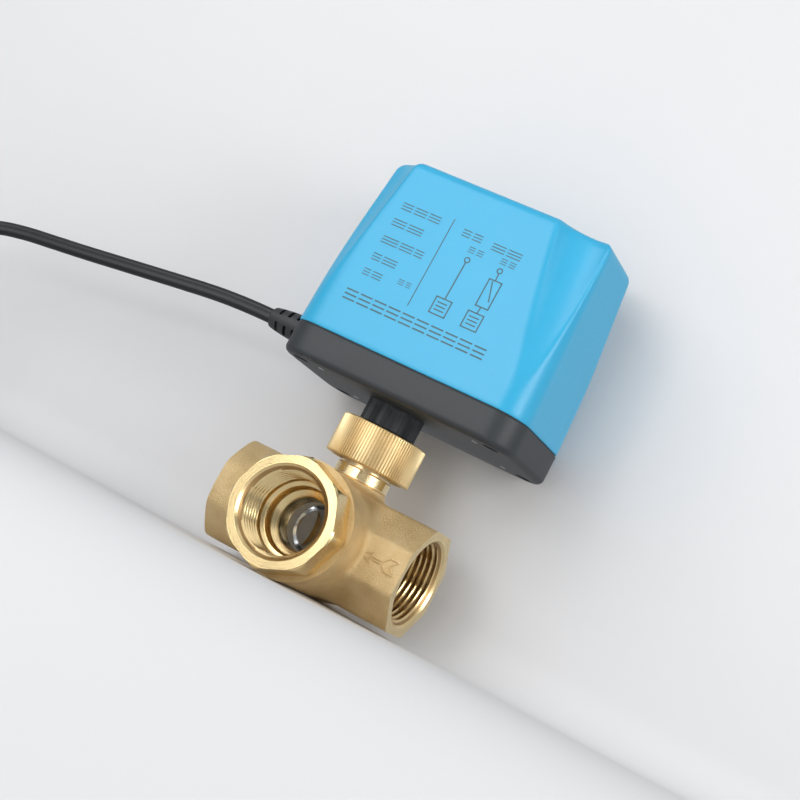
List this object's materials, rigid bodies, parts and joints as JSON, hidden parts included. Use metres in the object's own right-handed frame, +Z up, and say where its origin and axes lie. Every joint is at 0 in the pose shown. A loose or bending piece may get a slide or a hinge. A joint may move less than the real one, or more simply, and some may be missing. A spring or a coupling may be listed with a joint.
{
  "type": "motorised three-way zone valve",
  "caption": "Three-way motorised ball valve for heating: threaded brass body and a geared electric actuator held on by a knurled union nut, with a supply lead.",
  "frame": {"origin": "centre of the ball, where the pipe axis meets the stem axis", "axes": "+X along the pipe towards the right-hand port, +Z up the stem to the actuator, the front port looks along -Y"},
  "size_m": [0.2883, 0.137, 0.1638],
  "materials": {
    "cast_brass": "sand-cast, satin",
    "machined_brass": "machined, satin",
    "brass_nut": "knurled, satin",
    "chrome_ball": "polished",
    "stem_brass": "turned",
    "ptfe": "waxy",
    "seal_rubber": "matt",
    "blue_cover": "satin moulded",
    "black_base": "fine moulded texture",
    "gasket": "matt",
    "screw_steel": "zinc plated",
    "plate_steel": "sheet, zinc plated",
    "post_brass": "turned hexagon",
    "bush_bronze": "sintered",
    "motor_can": "drawn, satin",
    "copper_coil": "enamelled wire",
    "magnet": "sintered ferrite",
    "pinion_brass": "hobbed",
    "gear_plastic": "moulded",
    "shaft_steel": "ground",
    "cam_orange": "moulded",
    "cam_blue": "moulded",
    "coupler_black": "glass filled",
    "spring_steel": "drawn wire",
    "switch_black": "moulded",
    "board_green": "solder mask",
    "terminal_green": "moulded",
    "capacitor_red": "dipped",
    "wire_insulation": "soft PVC",
    "gland_black": "satin",
    "lead_black": "semi-gloss PVC",
    "core_wires": "PVC with bare copper ends",
    "tie_black": "nylon"
  },
  "bodies": {
    "valve": {"valve_body": "cast_brass", "port_adapter": "machined_brass", "adapter_seal": "ptfe", "seat_left": "ptfe", "seat_right": "ptfe", "seat_front": "ptfe", "valve_bonnet": "machined_brass", "lead_coil": "lead_black", "lead_tail": "lead_black", "lead_cores": "core_wires", "lead_tie": "tie_black"},
    "ball_and_stem": {"ball": "chrome_ball", "stem": "stem_brass", "stem_seals": "seal_rubber", "thrust_washer": "ptfe"},
    "actuator": {"base_housing": "black_base", "nut_retaining_ring": "screw_steel", "cover": "blue_cover", "cover_gasket": "gasket", "cover_screws": "screw_steel", "lower_plate": "plate_steel", "upper_plate": "plate_steel", "plate_posts": "post_brass", "post_screws": "screw_steel", "shaft_bushes": "bush_bronze", "idler_axle": "shaft_steel", "motor_case": "motor_can", "motor_base": "plate_steel", "motor_coil": "copper_coil", "motor_screws": "screw_steel", "return_spring": "spring_steel", "switch_lower": "switch_black", "switch_upper": "switch_black", "switch_screws": "screw_steel", "control_board": "board_green", "terminal_block": "terminal_green", "capacitor": "capacitor_red", "board_posts": "post_brass", "inner_leads": "wire_insulation", "strain_relief": "gland_black", "lead_cord": "lead_black"},
    "union_nut": {"union_nut": "brass_nut"},
    "motor_shaft": {"motor_rotor": "magnet", "motor_pinion": "pinion_brass"},
    "idler": {"idler_gear": "gear_plastic"},
    "output": {"output_shaft": "shaft_steel", "output_gear": "gear_plastic", "cam_lower": "cam_orange", "cam_upper": "cam_blue", "shaft_clip": "screw_steel", "drive_coupler": "coupler_black"},
    "lower_lever": {"lever_lower": "screw_steel"},
    "upper_lever": {"lever_upper": "screw_steel"}
  },
  "joints": [
    {"name": "stem_turn", "type": "hinge", "parent": "valve", "child": "ball_and_stem", "pos_m": [0, 0, 0], "axis": [0, 0, 1], "range_deg": [0, 90]},
    {"name": "actuator_lift", "type": "slide", "parent": "valve", "child": "actuator", "axis": [0, 0, 1], "range_m": [0, 0.03]},
    {"name": "nut_turn", "type": "hinge", "parent": "actuator", "child": "union_nut", "pos_m": [0, 0, 0.038], "axis": [0, 0, 1], "continuous": true},
    {"name": "motor_turn", "type": "hinge", "parent": "actuator", "child": "motor_shaft", "pos_m": [0.0138, 0, 0.08], "axis": [0, 0, 1], "range_deg": [0, 1800]},
    {"name": "idler_turn", "type": "hinge", "parent": "actuator", "child": "idler", "pos_m": [0.0288, 0, 0.07], "axis": [0, 0, 1], "range_deg": [-450, 0]},
    {"name": "output_turn", "type": "hinge", "parent": "actuator", "child": "output", "pos_m": [0, 0, 0.06], "axis": [0, 0, 1], "range_deg": [0, 90]},
    {"name": "lower_lever_press", "type": "hinge", "parent": "actuator", "child": "lower_lever", "pos_m": [-0.0116, -0.008, 0.072], "axis": [0, 0, 1], "range_deg": [0, 5], "stiffness_Nm_per_rad": 0.002},
    {"name": "upper_lever_press", "type": "hinge", "parent": "actuator", "child": "upper_lever", "pos_m": [-0.0116, -0.008, 0.078], "axis": [0, 0, 1], "range_deg": [0, 5], "stiffness_Nm_per_rad": 0.002}
  ],
  "couplings": [
    {"joint": "idler_turn", "follows": "motor_turn", "ratio": -0.25},
    {"joint": "output_turn", "follows": "motor_turn", "ratio": 0.05},
    {"joint": "stem_turn", "follows": "motor_turn", "ratio": 0.05}
  ]
}
